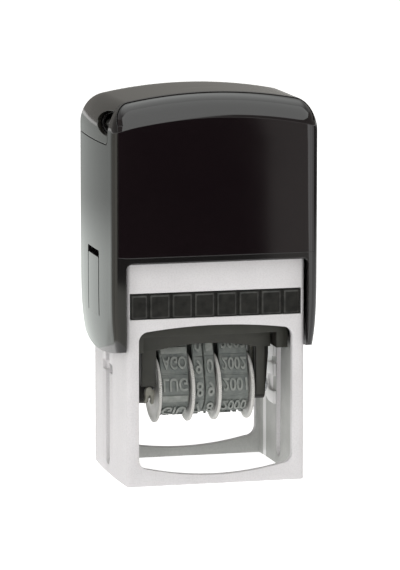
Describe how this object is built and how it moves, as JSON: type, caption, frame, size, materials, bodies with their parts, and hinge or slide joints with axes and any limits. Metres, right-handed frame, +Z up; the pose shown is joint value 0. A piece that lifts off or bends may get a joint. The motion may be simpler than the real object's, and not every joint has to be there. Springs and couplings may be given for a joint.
{
  "type": "self-inking date stamp",
  "caption": "Self-inking hand stamp with a gloss black cap that slides over an open grey frame, a printing plate that turns over as it goes down, and thumb wheels that set the date.",
  "frame": {"origin": "middle of the frame's foot, at the paper", "axes": "+Z up along the cap's travel, -Y out of the front with the bare label panel, +X to the right seen from the front"},
  "size_m": [0.063, 0.0502, 0.1144],
  "materials": {
    "frame_plastic": "fine-grained light grey",
    "tray_plastic": "charcoal, lightly worn",
    "ink_felt": "felt soaked in black ink",
    "steel": "bright",
    "cap_gloss": "polished black",
    "cover_gloss": "polished black",
    "panel_gloss": "polished black, bare",
    "carriage_plastic": "dark olive grey satin",
    "text_rubber": "printing rubber",
    "wheel_plastic": "light grey, satin",
    "band_rubber": "slate grey, satin"
  },
  "bodies": {
    "frame": {"lower_frame": "frame_plastic", "pad_tray": "tray_plastic", "ink_pad": "ink_felt", "spring_seat": "frame_plastic", "return_spring": "steel"},
    "cap": {"cap_shell": "cap_gloss", "top_cover": "cover_gloss", "front_panel": "panel_gloss", "yoke": "tray_plastic", "pivot_pin_left": "steel", "pivot_pin_right": "steel"},
    "latch_left": {"latch_tongue_left": "cap_gloss"},
    "latch_right": {"latch_tongue_right": "cap_gloss"},
    "carriage": {"carriage": "carriage_plastic", "text_plate": "tray_plastic", "text_rubber": "text_rubber", "dater_bridge": "wheel_plastic", "wheel_axle": "steel", "month_band": "band_rubber", "tens_band": "band_rubber", "units_band": "band_rubber", "year_band": "band_rubber"},
    "month_dial": {"month_wheel": "wheel_plastic"},
    "tens_dial": {"tens_wheel": "wheel_plastic"},
    "units_dial": {"units_wheel": "wheel_plastic"},
    "year_dial": {"year_wheel": "wheel_plastic"}
  },
  "joints": [
    {"name": "cap_press", "type": "slide", "parent": "frame", "child": "cap", "axis": [0, 0, -1], "range_m": [0, 0.031], "stiffness_N_per_m": 400, "springref_m": -0.012, "deforming": ["return_spring"]},
    {"name": "carriage_flip", "type": "hinge", "parent": "cap", "child": "carriage", "pos_m": [0, 0, 0.0395], "axis": [-1, 0, 0], "range_deg": [0, 180]},
    {"name": "month_turn", "type": "hinge", "parent": "carriage", "child": "month_dial", "pos_m": [0, -0.0018, 0.0253], "axis": [1, 0, 0], "continuous": true},
    {"name": "tens_turn", "type": "hinge", "parent": "carriage", "child": "tens_dial", "pos_m": [0, -0.0018, 0.0253], "axis": [1, 0, 0], "continuous": true},
    {"name": "units_turn", "type": "hinge", "parent": "carriage", "child": "units_dial", "pos_m": [0, -0.0018, 0.0253], "axis": [1, 0, 0], "continuous": true},
    {"name": "year_turn", "type": "hinge", "parent": "carriage", "child": "year_dial", "pos_m": [0, -0.0018, 0.0253], "axis": [1, 0, 0], "continuous": true},
    {"name": "latch_left_flex", "type": "hinge", "parent": "cap", "child": "latch_left", "pos_m": [-0.0291, 0, 0.0484], "axis": [0, 1, 0], "range_deg": [0, 1.8], "stiffness_Nm_per_rad": 0.2},
    {"name": "latch_right_flex", "type": "hinge", "parent": "cap", "child": "latch_right", "pos_m": [0.0291, 0, 0.0484], "axis": [0, -1, 0], "range_deg": [0, 1.8], "stiffness_Nm_per_rad": 0.2}
  ],
  "couplings": [
    {"joint": "carriage_flip", "follows": "cap_press", "rad_per_m": 101.34}
  ]
}
